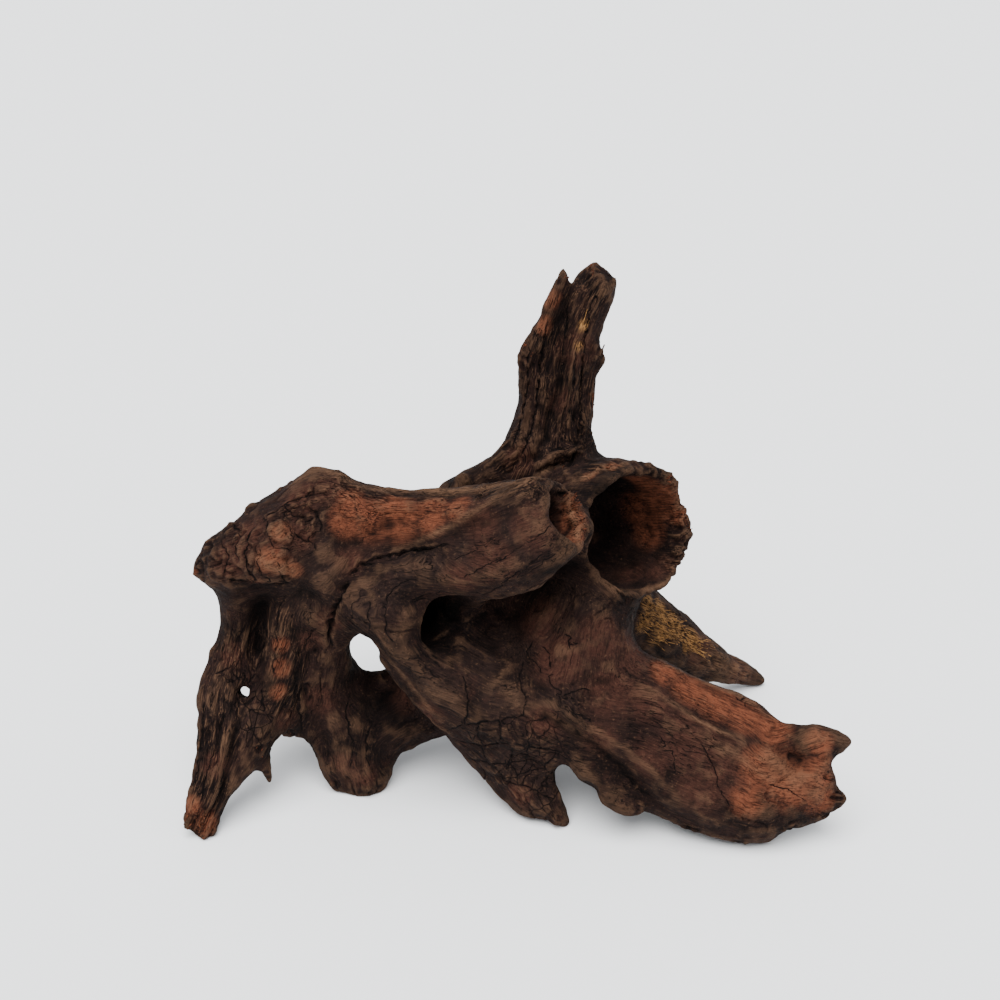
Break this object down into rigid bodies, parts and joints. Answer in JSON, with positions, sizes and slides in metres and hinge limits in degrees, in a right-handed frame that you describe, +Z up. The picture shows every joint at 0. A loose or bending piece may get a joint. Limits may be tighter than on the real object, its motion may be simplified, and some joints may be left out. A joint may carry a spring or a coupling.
{
  "type": "driftwood log",
  "caption": "Weathered ebony driftwood stump that stands on its roots, with a hollow broken trunk end, a broken arm, a split spire and a window between the roots.",
  "frame": {"origin": "centre of the bounding box, at the level of the ground that the roots stand on", "axes": "+X from the head and long leg towards the broad root, +Y from the hollow trunk end's mouth towards the back, +Z up"},
  "size_m": [0.4002, 0.1904, 0.3144],
  "materials": {
    "weathered_ebony": "weathered, unpolished, dry"
  },
  "bodies": {
    "root": {"log": "weathered_ebony"}
  },
  "joints": []
}
